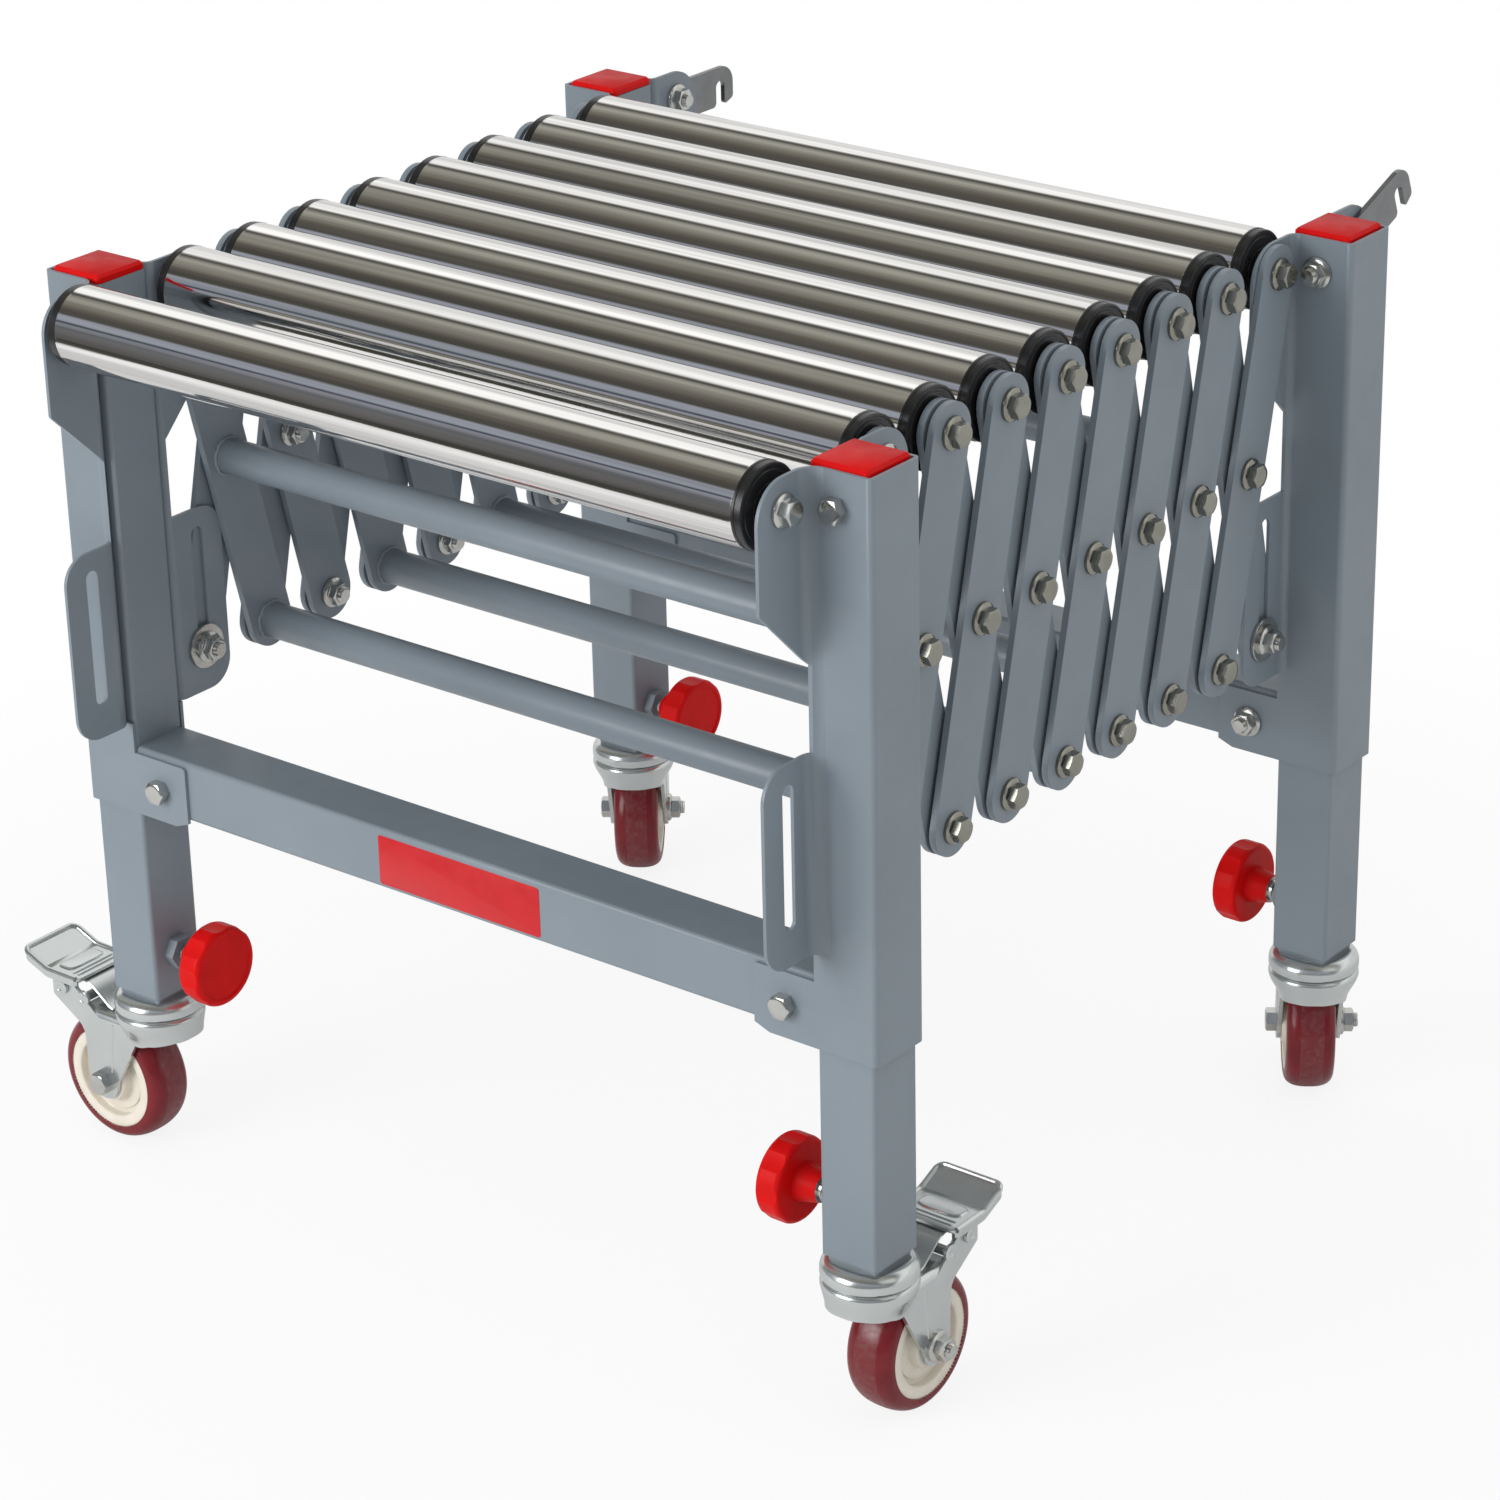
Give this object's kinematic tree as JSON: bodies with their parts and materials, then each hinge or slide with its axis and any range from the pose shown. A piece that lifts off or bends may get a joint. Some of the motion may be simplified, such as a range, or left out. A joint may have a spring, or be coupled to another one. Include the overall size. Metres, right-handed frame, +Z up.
{
  "type": "expandable roller table",
  "caption": "Expandable scissor-link roller table with bright rollers between post frames on swivel casters, with telescopic legs, clamping knobs and coupling hooks.",
  "frame": {"origin": "on the floor, midway between the four posts at rest", "axes": "+X along the rollers to the right, +Y along the conveyor from the front frame to the rear frame, +Z up"},
  "size_m": [0.7955, 0.7473, 0.6902],
  "materials": {
    "grey_paint": "satin grey powder coat",
    "red_plastic": "moulded red plastic",
    "chromed_steel": "bright plated roller tube, black plastic ends",
    "tyre": "dark red tyre on a cream hub",
    "zinc": "bright zinc plating",
    "bright_steel": "bare flat steel"
  },
  "bodies": {
    "front_frame": {"front_post_shells": "grey_paint", "front_leg_tubes": "grey_paint", "front_crossbar": "grey_paint", "front_post_caps": "red_plastic", "front_fasteners": "zinc"},
    "rear_frame": {"rear_post_shells": "grey_paint", "rear_leg_tubes": "grey_paint", "rear_crossbar": "grey_paint", "rear_post_caps": "red_plastic", "rear_fasteners": "zinc"},
    "inner_link_1": {"inner_links_1": "grey_paint"},
    "outer_link_1": {"outer_links_1": "grey_paint", "link_pivots_1": "zinc"},
    "inner_link_2": {"inner_links_2": "grey_paint"},
    "outer_link_2": {"outer_links_2": "grey_paint", "link_pivots_2": "zinc"},
    "inner_link_3": {"inner_links_3": "grey_paint"},
    "outer_link_3": {"outer_links_3": "grey_paint", "link_pivots_3": "zinc"},
    "inner_link_4": {"inner_links_4": "grey_paint"},
    "outer_link_4": {"outer_links_4": "grey_paint", "link_pivots_4": "zinc"},
    "inner_link_5": {"inner_links_5": "grey_paint"},
    "outer_link_5": {"outer_links_5": "grey_paint", "link_pivots_5": "zinc"},
    "inner_link_6": {"inner_links_6": "grey_paint"},
    "outer_link_6": {"outer_links_6": "grey_paint", "link_pivots_6": "zinc"},
    "inner_link_7": {"inner_links_7": "grey_paint"},
    "outer_link_7": {"outer_links_7": "grey_paint", "link_pivots_7": "zinc"},
    "roller_1": {"roller_1": "chromed_steel"},
    "roller_2": {"roller_2": "chromed_steel"},
    "roller_3": {"roller_3": "chromed_steel"},
    "roller_4": {"roller_4": "chromed_steel"},
    "roller_5": {"roller_5": "chromed_steel"},
    "roller_6": {"roller_6": "chromed_steel"},
    "roller_7": {"roller_7": "chromed_steel"},
    "roller_8": {"roller_8": "chromed_steel"},
    "roller_9": {"roller_9": "chromed_steel"},
    "inner_leg_front_left": {"inner_leg_front_left": "grey_paint"},
    "caster_front_left": {"caster_fork_front_left": "zinc"},
    "wheel_front_left": {"caster_wheel_front_left": "tyre"},
    "knob_front_left": {"leg_knob_front_left": "red_plastic"},
    "pedal_front_left": {"brake_pedal_front_left": "zinc"},
    "inner_leg_front_right": {"inner_leg_front_right": "grey_paint"},
    "caster_front_right": {"caster_fork_front_right": "zinc"},
    "wheel_front_right": {"caster_wheel_front_right": "tyre"},
    "knob_front_right": {"leg_knob_front_right": "red_plastic"},
    "pedal_front_right": {"brake_pedal_front_right": "zinc"},
    "inner_leg_rear_left": {"inner_leg_rear_left": "grey_paint"},
    "caster_rear_left": {"caster_fork_rear_left": "zinc"},
    "wheel_rear_left": {"caster_wheel_rear_left": "tyre"},
    "knob_rear_left": {"leg_knob_rear_left": "red_plastic"},
    "inner_leg_rear_right": {"inner_leg_rear_right": "grey_paint"},
    "caster_rear_right": {"caster_fork_rear_right": "zinc"},
    "wheel_rear_right": {"caster_wheel_rear_right": "tyre"},
    "knob_rear_right": {"leg_knob_rear_right": "red_plastic"},
    "hook_left": {"coupling_hook_left": "bright_steel"},
    "hook_right": {"coupling_hook_right": "bright_steel"}
  },
  "joints": [
    {"name": "inner_link_1_turn", "type": "hinge", "parent": "front_frame", "child": "inner_link_1", "pos_m": [0, -0.2205, 0.65799], "axis": [1, 0, 0], "range_deg": [0, 33.8]},
    {"name": "outer_link_1_turn", "type": "hinge", "parent": "inner_link_1", "child": "outer_link_1", "pos_m": [0, -0.189, 0.52312], "axis": [1, 0, 0], "range_deg": [-67.7, 0]},
    {"name": "inner_link_2_turn", "type": "hinge", "parent": "outer_link_1", "child": "inner_link_2", "pos_m": [0, -0.1575, 0.65799], "axis": [1, 0, 0], "range_deg": [0, 67.7]},
    {"name": "outer_link_2_turn", "type": "hinge", "parent": "inner_link_2", "child": "outer_link_2", "pos_m": [0, -0.126, 0.52312], "axis": [1, 0, 0], "range_deg": [-67.7, 0]},
    {"name": "inner_link_3_turn", "type": "hinge", "parent": "outer_link_2", "child": "inner_link_3", "pos_m": [0, -0.0945, 0.65799], "axis": [1, 0, 0], "range_deg": [0, 67.7]},
    {"name": "outer_link_3_turn", "type": "hinge", "parent": "inner_link_3", "child": "outer_link_3", "pos_m": [0, -0.063, 0.52312], "axis": [1, 0, 0], "range_deg": [-67.7, 0]},
    {"name": "inner_link_4_turn", "type": "hinge", "parent": "outer_link_3", "child": "inner_link_4", "pos_m": [0, -0.0315, 0.65799], "axis": [1, 0, 0], "range_deg": [0, 67.7]},
    {"name": "outer_link_4_turn", "type": "hinge", "parent": "inner_link_4", "child": "outer_link_4", "pos_m": [0, 0, 0.52312], "axis": [1, 0, 0], "range_deg": [-67.7, 0]},
    {"name": "inner_link_5_turn", "type": "hinge", "parent": "outer_link_4", "child": "inner_link_5", "pos_m": [0, 0.0315, 0.65799], "axis": [1, 0, 0], "range_deg": [0, 67.7]},
    {"name": "outer_link_5_turn", "type": "hinge", "parent": "inner_link_5", "child": "outer_link_5", "pos_m": [0, 0.063, 0.52312], "axis": [1, 0, 0], "range_deg": [-67.7, 0]},
    {"name": "inner_link_6_turn", "type": "hinge", "parent": "outer_link_5", "child": "inner_link_6", "pos_m": [0, 0.0945, 0.65799], "axis": [1, 0, 0], "range_deg": [0, 67.7]},
    {"name": "outer_link_6_turn", "type": "hinge", "parent": "inner_link_6", "child": "outer_link_6", "pos_m": [0, 0.126, 0.52312], "axis": [1, 0, 0], "range_deg": [-67.7, 0]},
    {"name": "inner_link_7_turn", "type": "hinge", "parent": "outer_link_6", "child": "inner_link_7", "pos_m": [0, 0.1575, 0.65799], "axis": [1, 0, 0], "range_deg": [0, 67.7]},
    {"name": "outer_link_7_turn", "type": "hinge", "parent": "inner_link_7", "child": "outer_link_7", "pos_m": [0, 0.189, 0.52312], "axis": [1, 0, 0], "range_deg": [-67.7, 0]},
    {"name": "rear_frame_turn", "type": "hinge", "parent": "outer_link_7", "child": "rear_frame", "pos_m": [0, 0.2205, 0.65799], "axis": [1, 0, 0], "range_deg": [0, 33.9]},
    {"name": "roller_1_spin", "type": "hinge", "parent": "front_frame", "child": "roller_1", "pos_m": [0, -0.3225, 0.65799], "axis": [1, 0, 0], "continuous": true},
    {"name": "roller_2_spin", "type": "hinge", "parent": "front_frame", "child": "roller_2", "pos_m": [0, -0.2205, 0.65799], "axis": [1, 0, 0], "continuous": true},
    {"name": "roller_3_spin", "type": "hinge", "parent": "outer_link_1", "child": "roller_3", "pos_m": [0, -0.1575, 0.65799], "axis": [1, 0, 0], "continuous": true},
    {"name": "roller_4_spin", "type": "hinge", "parent": "outer_link_2", "child": "roller_4", "pos_m": [0, -0.0945, 0.65799], "axis": [1, 0, 0], "continuous": true},
    {"name": "roller_5_spin", "type": "hinge", "parent": "outer_link_3", "child": "roller_5", "pos_m": [0, -0.0315, 0.65799], "axis": [1, 0, 0], "continuous": true},
    {"name": "roller_6_spin", "type": "hinge", "parent": "outer_link_4", "child": "roller_6", "pos_m": [0, 0.0315, 0.65799], "axis": [1, 0, 0], "continuous": true},
    {"name": "roller_7_spin", "type": "hinge", "parent": "outer_link_5", "child": "roller_7", "pos_m": [0, 0.0945, 0.65799], "axis": [1, 0, 0], "continuous": true},
    {"name": "roller_8_spin", "type": "hinge", "parent": "outer_link_6", "child": "roller_8", "pos_m": [0, 0.1575, 0.65799], "axis": [1, 0, 0], "continuous": true},
    {"name": "roller_9_spin", "type": "hinge", "parent": "outer_link_7", "child": "roller_9", "pos_m": [0, 0.2205, 0.65799], "axis": [1, 0, 0], "continuous": true},
    {"name": "leg_slide_front_left", "type": "slide", "parent": "front_frame", "child": "inner_leg_front_left", "axis": [0, 0, -1], "range_m": [0, 0.33]},
    {"name": "caster_swivel_front_left", "type": "hinge", "parent": "inner_leg_front_left", "child": "caster_front_left", "pos_m": [-0.323, -0.2715, 0.117], "axis": [0, 0, 1], "continuous": true},
    {"name": "wheel_spin_front_left", "type": "hinge", "parent": "caster_front_left", "child": "wheel_front_left", "pos_m": [-0.364, -0.2715, 0.05], "axis": [0, -1, 0], "continuous": true},
    {"name": "knob_turn_front_left", "type": "hinge", "parent": "front_frame", "child": "knob_front_left", "pos_m": [-0.323, -0.2715, 0.1675], "axis": [1, 0, 0], "continuous": true},
    {"name": "pedal_press_front_left", "type": "hinge", "parent": "caster_front_left", "child": "pedal_front_left", "pos_m": [-0.4, -0.2715, 0.118], "axis": [0, -1, 0], "range_deg": [0, 12]},
    {"name": "leg_slide_front_right", "type": "slide", "parent": "front_frame", "child": "inner_leg_front_right", "axis": [0, 0, -1], "range_m": [0, 0.33]},
    {"name": "caster_swivel_front_right", "type": "hinge", "parent": "inner_leg_front_right", "child": "caster_front_right", "pos_m": [0.323, -0.2715, 0.117], "axis": [0, 0, 1], "continuous": true},
    {"name": "wheel_spin_front_right", "type": "hinge", "parent": "caster_front_right", "child": "wheel_front_right", "pos_m": [0.323, -0.2305, 0.05], "axis": [-1, 0, 0], "continuous": true},
    {"name": "knob_turn_front_right", "type": "hinge", "parent": "front_frame", "child": "knob_front_right", "pos_m": [0.323, -0.2715, 0.1675], "axis": [1, 0, 0], "continuous": true},
    {"name": "pedal_press_front_right", "type": "hinge", "parent": "caster_front_right", "child": "pedal_front_right", "pos_m": [0.323, -0.1945, 0.118], "axis": [-1, 0, 0], "range_deg": [0, 12]},
    {"name": "leg_slide_rear_left", "type": "slide", "parent": "rear_frame", "child": "inner_leg_rear_left", "axis": [0, 0, -1], "range_m": [0, 0.33]},
    {"name": "caster_swivel_rear_left", "type": "hinge", "parent": "inner_leg_rear_left", "child": "caster_rear_left", "pos_m": [-0.323, 0.2715, 0.117], "axis": [0, 0, 1], "continuous": true},
    {"name": "wheel_spin_rear_left", "type": "hinge", "parent": "caster_rear_left", "child": "wheel_rear_left", "pos_m": [-0.34652, 0.30508, 0.05], "axis": [-0.8192, -0.5736, 0], "continuous": true},
    {"name": "knob_turn_rear_left", "type": "hinge", "parent": "rear_frame", "child": "knob_rear_left", "pos_m": [-0.323, 0.2715, 0.1675], "axis": [1, 0, 0], "continuous": true},
    {"name": "leg_slide_rear_right", "type": "slide", "parent": "rear_frame", "child": "inner_leg_rear_right", "axis": [0, 0, -1], "range_m": [0, 0.33]},
    {"name": "caster_swivel_rear_right", "type": "hinge", "parent": "inner_leg_rear_right", "child": "caster_rear_right", "pos_m": [0.323, 0.2715, 0.117], "axis": [0, 0, 1], "continuous": true},
    {"name": "wheel_spin_rear_right", "type": "hinge", "parent": "caster_rear_right", "child": "wheel_rear_right", "pos_m": [0.29948, 0.30508, 0.05], "axis": [-0.8192, -0.5736, 0], "continuous": true},
    {"name": "knob_turn_rear_right", "type": "hinge", "parent": "rear_frame", "child": "knob_rear_right", "pos_m": [0.323, 0.2715, 0.1675], "axis": [1, 0, 0], "continuous": true},
    {"name": "hook_swing_left", "type": "hinge", "parent": "rear_frame", "child": "hook_left", "pos_m": [-0.305, 0.3225, 0.65799], "axis": [1, 0, 0], "range_deg": [-20, 95]},
    {"name": "hook_swing_right", "type": "hinge", "parent": "rear_frame", "child": "hook_right", "pos_m": [0.305, 0.3225, 0.65799], "axis": [1, 0, 0], "range_deg": [-41, 74]}
  ],
  "couplings": [
    {"joint": "outer_link_1_turn", "follows": "inner_link_1_turn", "ratio": -2},
    {"joint": "inner_link_2_turn", "follows": "inner_link_1_turn", "ratio": 2},
    {"joint": "outer_link_2_turn", "follows": "inner_link_1_turn", "ratio": -2},
    {"joint": "inner_link_3_turn", "follows": "inner_link_1_turn", "ratio": 2},
    {"joint": "outer_link_3_turn", "follows": "inner_link_1_turn", "ratio": -2},
    {"joint": "inner_link_4_turn", "follows": "inner_link_1_turn", "ratio": 2},
    {"joint": "outer_link_4_turn", "follows": "inner_link_1_turn", "ratio": -2},
    {"joint": "inner_link_5_turn", "follows": "inner_link_1_turn", "ratio": 2},
    {"joint": "outer_link_5_turn", "follows": "inner_link_1_turn", "ratio": -2},
    {"joint": "inner_link_6_turn", "follows": "inner_link_1_turn", "ratio": 2},
    {"joint": "outer_link_6_turn", "follows": "inner_link_1_turn", "ratio": -2},
    {"joint": "inner_link_7_turn", "follows": "inner_link_1_turn", "ratio": 2},
    {"joint": "outer_link_7_turn", "follows": "inner_link_1_turn", "ratio": -2},
    {"joint": "rear_frame_turn", "follows": "inner_link_1_turn", "ratio": 1}
  ]
}
